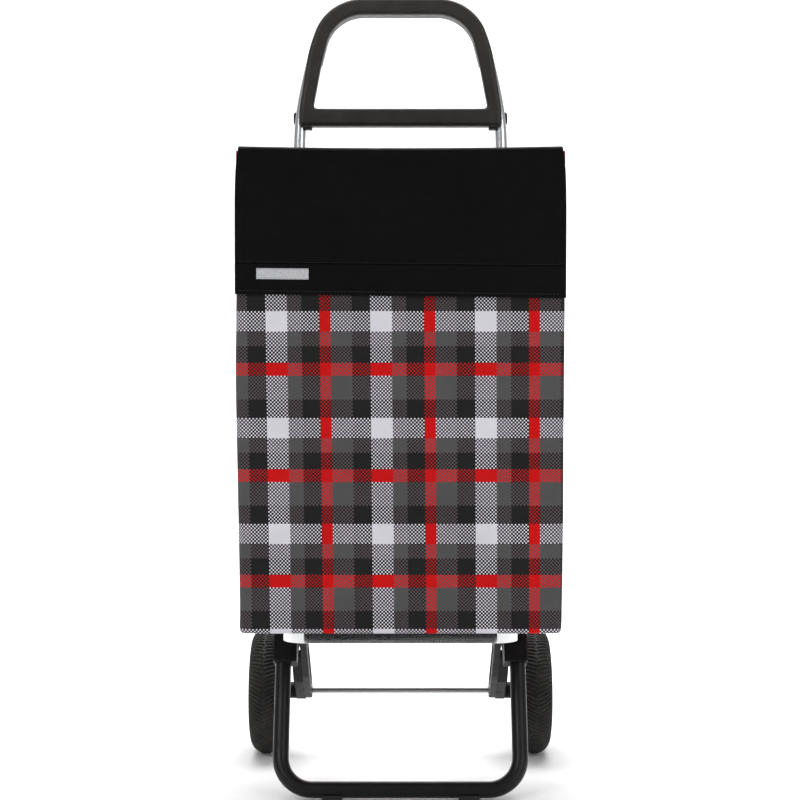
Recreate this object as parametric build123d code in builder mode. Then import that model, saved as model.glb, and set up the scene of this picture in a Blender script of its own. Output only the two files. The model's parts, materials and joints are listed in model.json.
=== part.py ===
from build123d import *
import os
from math import atan, cos, sin, tan, radians, degrees, sqrt

os.makedirs("parts", exist_ok=True)

# ---------------------------------------------------------------------------
# Two-wheel shopping trolley.  Millimetres, +Z up, the front faces -Y.
# Origin: centre of the footprint, on the ground.
# "left" is the -X side, "right" the +X side.
# ---------------------------------------------------------------------------

# frame and handle tube
TUBE_R = 8.0            # 16 mm aluminium tube
TUBE_WALL = 1.4
TUBE_Y = 35.0           # plane of the two uprights
TUBE_Z0 = 192.0         # lower end of the uprights, inside the hubs
TUBE_X0 = 146.5         # half spacing at the lower end
TOP_Z = 1011.9          # overall height

# moulded handle
GRIP_FRONT = 18.0       # how far the handle stands in front of the tube plane
GRIP_BACK = 11.0

# front foot
FOOT_R = 10.0           # 20 mm tube
FOOT_WALL = 1.5
FOOT_X = 147.8
FOOT_Y0 = -135.0        # where it meets the ground
FOOT_Z0 = 12.5
FOOT_Y1 = -54.0
FOOT_Z1 = 183.0
FOOT_BEND = 40.0
PAD_X = 84.0
PAD_L = 25.0

# wheels and axle
WHEEL_R = 85.0          # 170 mm wheel
TYRE_R = 21.0           # radius of the tyre's section
WHEEL_X = 182.5         # centre plane of each wheel
RIM_R = 54.0
AXLE_R = 4.0
AXLE_Y = 130.0
AXLE_Z = WHEEL_R
AXLE_HALF = 199.0
RUN = 0.05              # radial running clearance

# folding arms
PIVOT_Y = -25.0
PIVOT_Z = 188.0
ARM_IN = 120.6
ARM_OUT = 129.6
COVER_OUT = 143.0       # outer face of the moulded cover on each arm
COVER_FROM = 66.0       # where the cover starts, measured from the pivot

# hubs
HUB_IN = 130.5
HUB_OUT = 160.0

# shelf
SHELF_OUT = 143.0
SHELF_T = 4.0
SHELF_H = 12.0
SHELF_Z = 197.0
SHELF_Y = -168.0
SHELF_BACK = 19.5
SHELF_BEND = 30.0

# bag
BAG_Z0 = 209.4
BAG_Z1 = 787.0
BAG_BACK = 23.0
BAG_FRONT0 = -175.0     # front at the bottom
BAG_FRONT1 = -211.4     # front at the top
BAG_W0 = 388.0
BAG_W1 = 391.6
BAG_R = 10.0
BAG_SIDE_X = 184.0      # seam between the side panels and the front, back and base
BAG_T = 3.0

# lid
LID_T = 4.0
LID_Z = BAG_Z1 + 0.6
LID_W = 390.0
HINGE_Z = LID_Z + LID_T / 2
REAR_HINGE_Y = 23.0
FRONT_HINGE_Y = -213.5
FLAP_T = 3.0
FLAP_Z0 = 615.0
FLAP_Z1 = LID_Z - 0.4

# cross bars
UPPER_BAR_Z = 755.0
LOWER_BAR_Z = 262.0
BAR_H = 20.0
BAR_T = 3.0

lean = atan((FOOT_Y1 - FOOT_Y0) / (FOOT_Z1 - FOOT_Z0))      # lean of the foot from upright
foot_u = Vector(0, sin(lean), cos(lean))
front_slope = (BAG_FRONT1 - BAG_FRONT0) / (BAG_Z1 - BAG_Z0)


def side_plane(x):
    """Sketch plane facing +X at the given x: local x is +Y, local y is +Z."""
    return Plane(origin=(x, 0, 0), x_dir=(0, 1, 0), z_dir=(1, 0, 0))


def front_y(z):
    """Y of the bag's front face at height z."""
    return BAG_FRONT0 + front_slope * (z - BAG_Z0)


def tube_x(z):
    """Half spacing of the uprights at height z, below the arch."""
    return TUBE_X0 - (z - 195.0) * (146.5 - 132.0) / (859.5 - 195.0)


# ---------------------------------------------------------------------------
# Frame tube: two uprights and the handle arch, one bent tube
# ---------------------------------------------------------------------------
arch = [
    (-tube_x(TUBE_Z0), TUBE_Y, TUBE_Z0),
    (-132.0, TUBE_Y, 859.5),
    (-115.0, TUBE_Y, 937.0),
    (-90.9, TUBE_Y, TOP_Z - TUBE_R),
    (90.9, TUBE_Y, TOP_Z - TUBE_R),
    (115.0, TUBE_Y, 937.0),
    (132.0, TUBE_Y, 859.5),
    (tube_x(TUBE_Z0), TUBE_Y, TUBE_Z0),
]
arch_radii = [350, 300, 60, 60, 300, 350]

with BuildPart() as tube_core:
    with BuildLine() as arch_line:
        FilletPolyline(*arch, radius=arch_radii)
    with BuildSketch(Plane(origin=arch_line.line @ 0, z_dir=arch_line.line % 0)):
        Circle(TUBE_R)
    sweep()

with BuildPart() as frame_tube:
    with BuildLine() as arch_line2:
        FilletPolyline(*arch, radius=arch_radii)
    with BuildSketch(Plane(origin=arch_line2.line @ 0, z_dir=arch_line2.line % 0)):
        Circle(TUBE_R)
        Circle(TUBE_R - TUBE_WALL, mode=Mode.SUBTRACT)
    sweep()
    # screw holes behind the handle's cross bar
    with Locations(Plane((0, TUBE_Y, 856.0), x_dir=(1, 0, 0), z_dir=(0, 1, 0))):
        with Locations((-132.0, 0), (132.0, 0)):
            Cylinder(1.6, 40, mode=Mode.SUBTRACT)

# ---------------------------------------------------------------------------
# Handle: moulded D-shaped grip, half shell at the back of the arch, clamps
# ---------------------------------------------------------------------------
grip_outer = [
    (-133.4, 843.7), (-133.0, 866.0), (-120.5, 945.0), (-96.5, TOP_Z),
    (96.5, TOP_Z), (120.5, 945.0), (133.0, 866.0), (133.4, 843.7),
]
grip_inner = [
    (-114.6, 867.9), (-104.6, 921.0), (-87.0, 990.4),
    (87.0, 990.4), (104.6, 921.0), (114.6, 867.9),
]

with BuildPart() as handle_grip:
    with BuildSketch(Plane.XZ.offset(-TUBE_Y)):
        with BuildLine():
            FilletPolyline(*grip_outer, radius=[4, 150, 190, 66, 66, 190, 150, 4], close=True)
        make_face()
        with BuildLine(mode=Mode.PRIVATE) as window_line:
            FilletPolyline(*grip_inner, radius=[5, 160, 50, 50, 160, 5], close=True)
        make_face(window_line.line.edges(), mode=Mode.SUBTRACT)
    extrude(amount=GRIP_FRONT)
    fillet(handle_grip.faces().sort_by(Axis.Y)[0].edges(), 6.0)
    # clip lugs under the two ends of the cross bar
    with BuildSketch(Plane.XZ.offset(-TUBE_Y)):
        with Locations((-120.5, 843.2), (120.5, 843.2)):
            Rectangle(9, 6.4)
    extrude(amount=11)
    add(tube_core.part, mode=Mode.SUBTRACT)

with BuildPart() as grip_rear_shell:
    with BuildSketch(Plane.XZ.offset(-(TUBE_Y + GRIP_BACK))):
        with BuildLine():
            FilletPolyline(*grip_outer, radius=[4, 150, 190, 66, 66, 190, 150, 4], close=True)
        make_face()
        with BuildLine(mode=Mode.PRIVATE) as window_line2:
            FilletPolyline(*grip_inner, radius=[5, 160, 50, 50, 160, 5], close=True)
        make_face(window_line2.line.edges(), mode=Mode.SUBTRACT)
        with Locations((0, 862.5)):
            Rectangle(400, 125.0, mode=Mode.SUBTRACT)
    extrude(amount=GRIP_BACK)
    add(tube_core.part, mode=Mode.SUBTRACT)

with BuildPart() as handle_clamps:
    with BuildSketch(Plane.XZ.offset(-(TUBE_Y + GRIP_BACK))):
        with Locations((-127.0, 856.0), (127.0, 856.0)):
            RectangleRounded(28, 17, 4)
    extrude(amount=GRIP_BACK)
    with Locations(Plane((0, TUBE_Y + 5, 856.0), x_dir=(1, 0, 0), z_dir=(0, 1, 0))):
        with Locations((-118.0, 0), (118.0, 0)):
            Cylinder(1.8, 30, mode=Mode.SUBTRACT)
    add(tube_core.part, mode=Mode.SUBTRACT)

with BuildPart() as handle_screws:
    # shanks reach into the cross bar, pan heads sit on the clamps
    with Locations(Plane((0, TUBE_Y + GRIP_BACK, 856.0), x_dir=(1, 0, 0), z_dir=(0, 1, 0))):
        with Locations((-118.0, 0), (118.0, 0)):
            Cylinder(3.4, 2.0, align=(Align.CENTER, Align.CENTER, Align.MIN))
            Cylinder(1.8, 18, align=(Align.CENTER, Align.CENTER, Align.MAX))
    with Locations(Plane((0, TUBE_Y + GRIP_BACK + 2.0, 856.0), x_dir=(1, 0, 0), z_dir=(0, 1, 0))):
        with Locations((-118.0, 0), (118.0, 0)):
            Box(4.0, 0.9, 1.8, mode=Mode.SUBTRACT)
            Box(0.9, 4.0, 1.8, mode=Mode.SUBTRACT)

with BuildPart() as handle_grip_drilled:
    add(handle_grip.part)
    add(handle_screws.part, mode=Mode.SUBTRACT)
    add(handle_clamps.part, mode=Mode.SUBTRACT)

# ---------------------------------------------------------------------------
# Flat cross bars riveted to the back of the uprights
# ---------------------------------------------------------------------------
with BuildPart() as upper_crossbar:
    with BuildSketch(Plane.XZ.offset(-(TUBE_Y + TUBE_R))):
        with Locations((0, UPPER_BAR_Z)):
            RectangleRounded(2 * tube_x(UPPER_BAR_Z) + 20, BAR_H, 8)
    extrude(amount=-BAR_T)
    with Locations(Plane((0, TUBE_Y + TUBE_R, UPPER_BAR_Z), x_dir=(1, 0, 0), z_dir=(0, 1, 0))):
        with Locations((-tube_x(UPPER_BAR_Z), 0), (tube_x(UPPER_BAR_Z), 0)):
            Cylinder(2.4, 20, mode=Mode.SUBTRACT)

with BuildPart() as lower_crossbar:
    with BuildSketch(Plane.XZ.offset(-(TUBE_Y + TUBE_R))):
        with Locations((0, LOWER_BAR_Z)):
            RectangleRounded(2 * tube_x(LOWER_BAR_Z) + 20, BAR_H, 8)
    extrude(amount=-BAR_T)
    with Locations(Plane((0, TUBE_Y + TUBE_R, LOWER_BAR_Z), x_dir=(1, 0, 0), z_dir=(0, 1, 0))):
        with Locations((-tube_x(LOWER_BAR_Z), 0), (tube_x(LOWER_BAR_Z), 0)):
            Cylinder(2.4, 20, mode=Mode.SUBTRACT)

with BuildPart() as crossbar_rivets:
    for bar_z in (UPPER_BAR_Z, LOWER_BAR_Z):
        with Locations(Plane((0, TUBE_Y + TUBE_R + BAR_T, bar_z), x_dir=(1, 0, 0), z_dir=(0, 1, 0))):
            with Locations((-tube_x(bar_z), 0), (tube_x(bar_z), 0)):
                Cylinder(4.2, 1.8, align=(Align.CENTER, Align.CENTER, Align.MIN))
                Cylinder(2.4, 8.0, align=(Align.CENTER, Align.CENTER, Align.MAX))
    fillet(crossbar_rivets.faces().sort_by(Axis.Y)[-4:].edges(), 1.0)

# ---------------------------------------------------------------------------
# Front foot: bent tube with two pads
# ---------------------------------------------------------------------------
foot_pts = [
    (-FOOT_X, FOOT_Y1, FOOT_Z1),
    (-FOOT_X, FOOT_Y0, FOOT_Z0),
    (FOOT_X, FOOT_Y0, FOOT_Z0),
    (FOOT_X, FOOT_Y1, FOOT_Z1),
]
with BuildPart() as foot_core:
    with BuildLine() as foot_line:
        FilletPolyline(*foot_pts, radius=FOOT_BEND)
    with BuildSketch(Plane(origin=foot_line.line @ 0, z_dir=foot_line.line % 0)):
        Circle(FOOT_R)
    sweep()

with BuildPart() as foot_tube:
    with BuildLine() as foot_line2:
        FilletPolyline(*foot_pts, radius=FOOT_BEND)
    with BuildSketch(Plane(origin=foot_line2.line @ 0, z_dir=foot_line2.line % 0)):
        Circle(FOOT_R)
        Circle(FOOT_R - FOOT_WALL, mode=Mode.SUBTRACT)
    sweep()

with BuildPart() as foot_pad_left:
    with BuildSketch(Plane.XY):
        with Locations((-PAD_X, FOOT_Y0)):
            RectangleRounded(PAD_L, 21, 4)
    extrude(amount=7.5)
    fillet(foot_pad_left.faces().sort_by(Axis.Z)[0].edges(), 0.8)
    add(foot_core.part, mode=Mode.SUBTRACT)

with BuildPart() as foot_pad_right:
    mirror(foot_pad_left.part, about=Plane.YZ)

# ---------------------------------------------------------------------------
# Hubs: moulded knees that join foot, uprights, shelf and folding arms
# ---------------------------------------------------------------------------
n_front = Vector(0, -cos(lean), sin(lean))
base = Vector(0, FOOT_Y0 + (155.0 - FOOT_Z0) * tan(lean), 155.0)
front_low = base + n_front * 13.5
rear_low = base - n_front * 13.5
front_top_y = front_low.Y + (SHELF_Z - front_low.Z) * tan(lean)

with BuildPart() as hub_left:
    with BuildSketch(side_plane(-HUB_OUT)):
        with BuildLine():
            FilletPolyline(
                (front_low.Y, front_low.Z), (front_top_y, SHELF_Z), (24.0, SHELF_Z), (24.0, 246.0),
                (46.5, 246.0), (46.5, 176.0), (-5.0, 168.5), (-38.0, 164.0), (rear_low.Y, rear_low.Z),
                radius=[2, 5, 1, 3, 4, 12, 20, 14, 2], close=True)
        make_face()
    extrude(amount=HUB_OUT - HUB_IN)
    chamfer(hub_left.faces().sort_by(Axis.X)[0].edges(), 1.6)
    # lug that carries the shelf's rivets
    with BuildSketch(side_plane(-(SHELF_OUT + 7.0))):
        with BuildLine():
            FilletPolyline((-57.0, SHELF_Z - 1), (-52.0, SHELF_Z + SHELF_H), (12.0, SHELF_Z + SHELF_H),
                           (22.3, SHELF_Z + 5), (22.3, SHELF_Z - 1), radius=[0.5, 4, 4, 1, 0.5], close=True)
        make_face()
    extrude(amount=7.0)
    # weight-saving pocket on the outside
    with BuildSketch(side_plane(-HUB_OUT)):
        with BuildLine():
            FilletPolyline((2.0, 176.0), (2.0, 190.0), (30.0, 190.0), (30.0, 180.0), radius=[3, 3, 3, 3], close=True)
        make_face()
    extrude(amount=4.0, mode=Mode.SUBTRACT)
    add(foot_core.part, mode=Mode.SUBTRACT)
    add(tube_core.part, mode=Mode.SUBTRACT)
    with Locations(Plane((-(HUB_IN + HUB_OUT) / 2, PIVOT_Y, PIVOT_Z), x_dir=(0, 1, 0), z_dir=(1, 0, 0))):
        Cylinder(AXLE_R, 60, mode=Mode.SUBTRACT)
    with Locations(Plane((-SHELF_OUT, 0, SHELF_Z + SHELF_H / 2), x_dir=(0, 1, 0), z_dir=(1, 0, 0))):
        with Locations((-40.0, 0), (5.0, 0)):
            Cylinder(2.0, 40, mode=Mode.SUBTRACT)
    with Locations(Plane((-tube_x(220), TUBE_Y + 12, 0), x_dir=(0, 0, 1), z_dir=(0, 1, 0))):
        with Locations((210.0, 0), (234.0, 0)):
            Cylinder(1.8, 24, mode=Mode.SUBTRACT)

with BuildPart() as hub_right:
    mirror(hub_left.part, about=Plane.YZ)

with BuildPart() as hub_screws:
    for sx in (-1, 1):
        with Locations(Plane((sx * tube_x(220), TUBE_Y + 11.5, 0), x_dir=(0, 0, 1), z_dir=(0, 1, 0))):
            with Locations((210.0, 0), (234.0, 0)):
                Cylinder(3.6, 2.0, align=(Align.CENTER, Align.CENTER, Align.MIN))
                Cylinder(1.8, 7.0, align=(Align.CENTER, Align.CENTER, Align.MAX))
        with Locations(Plane((sx * tube_x(220), TUBE_Y + 13.5, 0), x_dir=(0, 0, 1), z_dir=(0, 1, 0))):
            with Locations((210.0, 0), (234.0, 0)):
                Box(4.2, 0.9, 1.8, mode=Mode.SUBTRACT)
                Box(0.9, 4.2, 1.8, mode=Mode.SUBTRACT)

with BuildPart() as pivot_bolt_left:
    with Locations(Plane((-HUB_OUT, PIVOT_Y, PIVOT_Z), x_dir=(0, 1, 0), z_dir=(-1, 0, 0))):
        Cylinder(7.0, 2.4, align=(Align.CENTER, Align.CENTER, Align.MIN))
        Cylinder(AXLE_R, HUB_OUT - (ARM_IN - 6.0), align=(Align.CENTER, Align.CENTER, Align.MAX))
    fillet(pivot_bolt_left.faces().sort_by(Axis.X)[0].edges(), 1.4)

with BuildPart() as pivot_bolt_right:
    mirror(pivot_bolt_left.part, about=Plane.YZ)

with BuildPart() as pivot_nuts:
    with BuildSketch(side_plane(-(ARM_IN - 0.4))):
        with Locations((PIVOT_Y, PIVOT_Z)):
            RegularPolygon(7.0, 6)
            Circle(AXLE_R, mode=Mode.SUBTRACT)
    extrude(amount=4.4)
    mirror(about=Plane.YZ)

# ---------------------------------------------------------------------------
# Shelf: flat bar bent to a U under the bag
# ---------------------------------------------------------------------------
with BuildPart() as shelf_bar:
    with BuildSketch(Plane.XY.offset(SHELF_Z)):
        with BuildLine() as shelf_line:
            FilletPolyline(
                (-SHELF_OUT + SHELF_T / 2, SHELF_BACK), (-SHELF_OUT + SHELF_T / 2, SHELF_Y + SHELF_T / 2),
                (SHELF_OUT - SHELF_T / 2, SHELF_Y + SHELF_T / 2), (SHELF_OUT - SHELF_T / 2, SHELF_BACK),
                radius=SHELF_BEND - SHELF_T / 2)
            offset(amount=SHELF_T / 2, side=Side.BOTH)
        make_face()
    extrude(amount=SHELF_H)
    with Locations(Plane((0, 0, SHELF_Z + SHELF_H / 2), x_dir=(0, 1, 0), z_dir=(1, 0, 0))):
        with Locations((-40.0, 0), (5.0, 0)):
            Cylinder(2.0, 400, mode=Mode.SUBTRACT)

with BuildPart() as shelf_rivets:
    with Locations(Plane((-SHELF_OUT - 7.0, 0, SHELF_Z + SHELF_H / 2), x_dir=(0, 1, 0), z_dir=(-1, 0, 0))):
        with Locations((-40.0, 0), (5.0, 0)):
            Cylinder(3.8, 1.4, align=(Align.CENTER, Align.CENTER, Align.MIN))
            Cylinder(2.0, 7.0 + SHELF_T, align=(Align.CENTER, Align.CENTER, Align.MAX))
    with Locations(Plane((-SHELF_OUT + SHELF_T, 0, SHELF_Z + SHELF_H / 2), x_dir=(0, 1, 0), z_dir=(1, 0, 0))):
        with Locations((-40.0, 0), (5.0, 0)):
            Cylinder(3.8, 1.4, align=(Align.CENTER, Align.CENTER, Align.MIN))
    mirror(about=Plane.YZ)

# ---------------------------------------------------------------------------
# Folding carriage: two arms, axle, retaining rings
# ---------------------------------------------------------------------------
arm_dir = Vector(0, AXLE_Y - PIVOT_Y, AXLE_Z - PIVOT_Z).normalized()
arm_len = sqrt((AXLE_Y - PIVOT_Y) ** 2 + (AXLE_Z - PIVOT_Z) ** 2)
arm_angle = -degrees(atan((PIVOT_Z - AXLE_Z) / (AXLE_Y - PIVOT_Y)))


def arm_plane(x):
    """Sketch plane at x whose local x runs from the pivot to the axle."""
    return Plane(origin=(x, PIVOT_Y, PIVOT_Z), x_dir=(arm_dir.X, arm_dir.Y, arm_dir.Z), z_dir=(1, 0, 0))


with BuildPart() as axle_arm_left:
    with BuildSketch(arm_plane(-ARM_OUT)):
        Circle(13.0)
        with Locations((arm_len, 0)):
            Circle(10.5)
        with Locations((arm_len * 0.55, -2.0)):
            Circle(14.5)
        make_hull()
    extrude(amount=ARM_OUT - ARM_IN)
    chamfer(axle_arm_left.faces().sort_by(Axis.X)[-1].edges(), 1.2)
    # long recess that leaves a rim round the arm
    with BuildSketch(arm_plane(-ARM_IN)):
        with Locations((arm_len * 0.5, -1.0)):
            SlotOverall(arm_len - 62.0, 15.0)
    extrude(amount=-3.5, mode=Mode.SUBTRACT)
    with Locations(Plane((-ARM_OUT, AXLE_Y, AXLE_Z), x_dir=(0, 1, 0), z_dir=(-1, 0, 0))):
        Cylinder(AXLE_R, 60, mode=Mode.SUBTRACT)
    with Locations(Plane((-ARM_OUT, PIVOT_Y, PIVOT_Z), x_dir=(0, 1, 0), z_dir=(-1, 0, 0))):
        Cylinder(AXLE_R + RUN, 60, mode=Mode.SUBTRACT)

with BuildPart() as axle_arm_right:
    mirror(axle_arm_left.part, about=Plane.YZ)

# moulded cover on the arm's outer face, with the boss that spaces the wheel
with BuildPart() as arm_cover_left:
    with BuildSketch(arm_plane(-COVER_OUT)):
        with Locations((COVER_FROM, -1.0)):
            Circle(6.0)
        with Locations((arm_len * 0.66, -2.5)):
            Circle(13.0)
        with Locations((arm_len, 0)):
            Circle(12.0)
        make_hull()
    extrude(amount=COVER_OUT - ARM_OUT)
    chamfer(arm_cover_left.faces().sort_by(Axis.X)[0].edges(), 1.5)
    with Locations(Plane((-COVER_OUT + 2.0, AXLE_Y, AXLE_Z), x_dir=(0, 1, 0), z_dir=(-1, 0, 0))):
        Cylinder(11.0, 164.6 - COVER_OUT + 2.0, align=(Align.CENTER, Align.CENTER, Align.MIN))
    with Locations(Plane((-COVER_OUT, AXLE_Y, AXLE_Z), x_dir=(0, 1, 0), z_dir=(-1, 0, 0))):
        Cylinder(AXLE_R, 100, mode=Mode.SUBTRACT)

with BuildPart() as arm_cover_right:
    mirror(arm_cover_left.part, about=Plane.YZ)

with BuildPart() as axle:
    with Locations(Plane((0, AXLE_Y, AXLE_Z), x_dir=(0, 1, 0), z_dir=(1, 0, 0))):
        Cylinder(AXLE_R, 2 * AXLE_HALF)
    chamfer(axle.edges().filter_by(GeomType.CIRCLE), 0.6)
    with BuildSketch(Plane.XZ.offset(-AXLE_Y)):
        for sx in (-1, 1):
            with Locations((sx * 196.9, AXLE_Z + AXLE_R)):
                Rectangle(1.2, 1.4)
    revolve(axis=Axis((0, AXLE_Y, AXLE_Z), (1, 0, 0)), mode=Mode.SUBTRACT)

with BuildPart() as axle_rings:
    with BuildSketch(side_plane(-197.4)):
        with Locations((AXLE_Y, AXLE_Z)):
            Circle(8.0)
            Circle(AXLE_R - 0.7, mode=Mode.SUBTRACT)
            with Locations((0, -6.0)):
                Rectangle(3.2, 8.0, mode=Mode.SUBTRACT)
    extrude(amount=1.0)
    mirror(about=Plane.YZ)

# ---------------------------------------------------------------------------
# Wheels
# ---------------------------------------------------------------------------
wheel_plane = Plane(origin=(-WHEEL_X, AXLE_Y, AXLE_Z), x_dir=(1, 0, 0), z_dir=(0, -1, 0))
wheel_axis = Axis((0, AXLE_Y, AXLE_Z), (1, 0, 0))

with BuildPart() as tyre_left:
    with BuildSketch(wheel_plane):
        with Locations((0, WHEEL_R - TYRE_R)):
            Circle(TYRE_R)
        with Locations((0, RIM_R - 20.0)):
            Rectangle(60, 40, mode=Mode.SUBTRACT)
    revolve(axis=wheel_axis)
    # moulding seam round the middle of the tread
    with BuildSketch(wheel_plane):
        with Locations((0, WHEEL_R - 0.2)):
            Rectangle(0.9, 1.4)
    revolve(axis=wheel_axis, mode=Mode.SUBTRACT)

with BuildPart() as tyre_right:
    mirror(tyre_left.part, about=Plane.YZ)

with BuildPart() as rim_left:
    with BuildSketch(wheel_plane):
        with BuildLine():
            Polyline((-18.0, RIM_R), (-18.0, RIM_R - 3.0), (-8.0, RIM_R - 7.5), (8.0, RIM_R - 7.5),
                     (18.0, RIM_R - 3.0), (18.0, RIM_R), close=True)
        make_face()
        with Locations((2.2, 10.0)):
            Rectangle(29.8, 9.0)
    revolve(axis=wheel_axis)
    with BuildSketch(side_plane(-WHEEL_X - 4.5)):
        with Locations((AXLE_Y, AXLE_Z)):
            with PolarLocations(30.0, 5, start_angle=90):
                Rectangle(37.0, 14.0)
    extrude(amount=9.0)
    with BuildSketch(side_plane(-WHEEL_X - 9.0)):
        with Locations((AXLE_Y, AXLE_Z)):
            with PolarLocations(30.0, 5, start_angle=90):
                Rectangle(36.0, 3.0)
    extrude(amount=18.0)
    with Locations(Plane((-WHEEL_X, AXLE_Y, AXLE_Z), x_dir=(0, 1, 0), z_dir=(1, 0, 0))):
        Cylinder(7.0, 80, mode=Mode.SUBTRACT)

with BuildPart() as rim_right:
    mirror(rim_left.part, about=Plane.YZ)

with BuildPart() as bush_left:
    with Locations(Plane((-180.4, AXLE_Y, AXLE_Z), x_dir=(0, 1, 0), z_dir=(1, 0, 0))):
        Cylinder(7.0, 30.0)
        Cylinder(AXLE_R + RUN, 40.0, mode=Mode.SUBTRACT)

with BuildPart() as bush_right:
    mirror(bush_left.part, about=Plane.YZ)

with BuildPart() as wheel_cap_left:
    with BuildSketch(wheel_plane):
        with BuildLine():
            Polyline((-12.0, 14.5), (-12.0, 17.0), (-18.5, 16.6), (-20.7, 13.5), (-21.4, 0.0),
                     (-19.6, 0.0), (-19.0, 12.0), (-17.3, 14.5), close=True)
        make_face()
    revolve(axis=wheel_axis)

with BuildPart() as wheel_cap_right:
    mirror(wheel_cap_left.part, about=Plane.YZ)

# ---------------------------------------------------------------------------
# Bag: five sewn panels, boards, rim wire, hooks and tube straps
# ---------------------------------------------------------------------------
def bag_section(z, inset):
    """Depth, width and centre of the bag's section at height z, drawn in by inset."""
    t = (z - BAG_Z0) / (BAG_Z1 - BAG_Z0)
    width = BAG_W0 + (BAG_W1 - BAG_W0) * t - 2 * inset
    depth = BAG_BACK - front_y(z) - 2 * inset
    return width, depth, (BAG_BACK + front_y(z)) / 2


w0, d0, c0 = bag_section(BAG_Z0, 0)
w1, d1, c1 = bag_section(BAG_Z1, 0)
wi0, di0, ci0 = bag_section(BAG_Z0 + BAG_T, BAG_T)
wi1, di1, ci1 = bag_section(BAG_Z1, BAG_T)

with BuildPart() as bag_shell:
    with BuildSketch(Plane.XY.offset(BAG_Z0)):
        with Locations((0, c0)):
            RectangleRounded(w0, d0, BAG_R)
    with BuildSketch(Plane.XY.offset(BAG_Z1)):
        with Locations((0, c1)):
            RectangleRounded(w1, d1, BAG_R)
    loft(ruled=True)
    with BuildSketch(Plane.XY.offset(BAG_Z0 + BAG_T)):
        with Locations((0, ci0)):
            RectangleRounded(wi0, di0, BAG_R - BAG_T)
    with BuildSketch(Plane.XY.offset(BAG_Z1)):
        with Locations((0, ci1)):
            RectangleRounded(wi1, di1, BAG_R - BAG_T)
    loft(ruled=True, mode=Mode.SUBTRACT)

seam_x = 2 * BAG_SIDE_X
base_top = BAG_Z0 + BAG_T

with BuildPart() as bag_side_left:
    add(bag_shell.part)
    with Locations((-BAG_SIDE_X, 0, 500.0)):
        Box(60.0, 700.0, 1200.0, align=(Align.MAX, Align.CENTER, Align.CENTER), mode=Mode.INTERSECT)

with BuildPart() as bag_side_right:
    mirror(bag_side_left.part, about=Plane.YZ)

with BuildPart() as bag_front_panel:
    add(bag_shell.part)
    with Locations((0, -100.0, base_top)):
        Box(seam_x, 300.0, 700.0, align=(Align.CENTER, Align.MAX, Align.MIN), mode=Mode.INTERSECT)

with BuildPart() as bag_back_panel:
    add(bag_shell.part)
    with Locations((0, -50.0, base_top)):
        Box(seam_x, 300.0, 700.0, align=(Align.CENTER, Align.MIN, Align.MIN), mode=Mode.INTERSECT)

with BuildPart() as bag_base_panel:
    add(bag_shell.part)
    with Locations((0, -80.0, base_top)):
        Box(seam_x, 700.0, 50.0, align=(Align.CENTER, Align.CENTER, Align.MAX), mode=Mode.INTERSECT)

with BuildPart() as bag_base_board:
    with BuildSketch(Plane.XY.offset(BAG_Z0 + BAG_T)):
        with Locations((0, ci0)):
            RectangleRounded(wi0 - 2, di0 - 2, BAG_R - BAG_T - 1)
    extrude(amount=3.0)

with BuildPart() as bag_back_board:
    with BuildSketch(Plane.XZ.offset(-(BAG_BACK - BAG_T))):
        with Locations((0, 492.0)):
            RectangleRounded(320, 545, 12)
    extrude(amount=2.0)

rim_w, rim_d, rim_c = bag_section(BAG_Z1 - 6.0, BAG_T + 2.9)
rim_shape = Pos(0, rim_c, BAG_Z1 - 6.0) * RectangleRounded(rim_w, rim_d, BAG_R - BAG_T - 2.9)
rim_loop = rim_shape.face().outer_wire()
with BuildPart() as bag_rim_wire:
    with BuildSketch(Plane(origin=rim_loop @ 0, z_dir=rim_loop % 0)):
        Circle(2.5)
    sweep(path=rim_loop)

with BuildPart() as bag_hooks:
    # plate on the bag's back, arm over the upper cross bar, lip behind it
    with BuildSketch(side_plane(-102.0)):
        with BuildLine():
            Polyline((BAG_BACK, 735.0), (BAG_BACK, 783.0), (BAG_BACK + 3.0, 783.0), (BAG_BACK + 3.0, 770.5),
                     (50.0, 770.5), (50.0, 752.0), (47.0, 752.0), (47.0, 766.5), (BAG_BACK + 3.0, 766.5),
                     (BAG_BACK + 3.0, 735.0), close=True)
        make_face()
    extrude(amount=24.0)
    fillet(bag_hooks.edges().filter_by(Axis.X).group_by(Axis.Y)[-1], 1.2)
    mirror(about=Plane.YZ)

strap_z = 330.0
with BuildPart() as bag_strap_left:
    with BuildSketch(Plane.XY.offset(strap_z)):
        with Locations((-tube_x(strap_z + 10), 34.0)):
            RectangleRounded(20.4, 22.0, 7.0)
            RectangleRounded(17.6, 19.2, 5.6, mode=Mode.SUBTRACT)
    extrude(amount=22.0)

with BuildPart() as bag_strap_right:
    mirror(bag_strap_left.part, about=Plane.YZ)

# ---------------------------------------------------------------------------
# Lid: top panel with its board, front flap, plain label
# ---------------------------------------------------------------------------
with BuildPart() as lid_top_panel:
    with BuildSketch(Plane.XY.offset(LID_Z)):
        with BuildLine():
            FilletPolyline((-LID_W / 2, -211.5), (LID_W / 2, -211.5), (LID_W / 2, 22.0), (-LID_W / 2, 22.0),
                           radius=[3, 3, 20, 20], close=True)
        make_face()
    extrude(amount=LID_T)
    with BuildSketch(Plane.XY.offset(LID_Z)):
        with Locations((0, -94.0)):
            RectangleRounded(360.4, 200.4, 10)
    extrude(amount=1.6, mode=Mode.SUBTRACT)

with BuildPart() as lid_board:
    with BuildSketch(Plane.XY.offset(LID_Z)):
        with Locations((0, -94.0)):
            RectangleRounded(360, 200, 10)
    extrude(amount=1.6)

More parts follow.
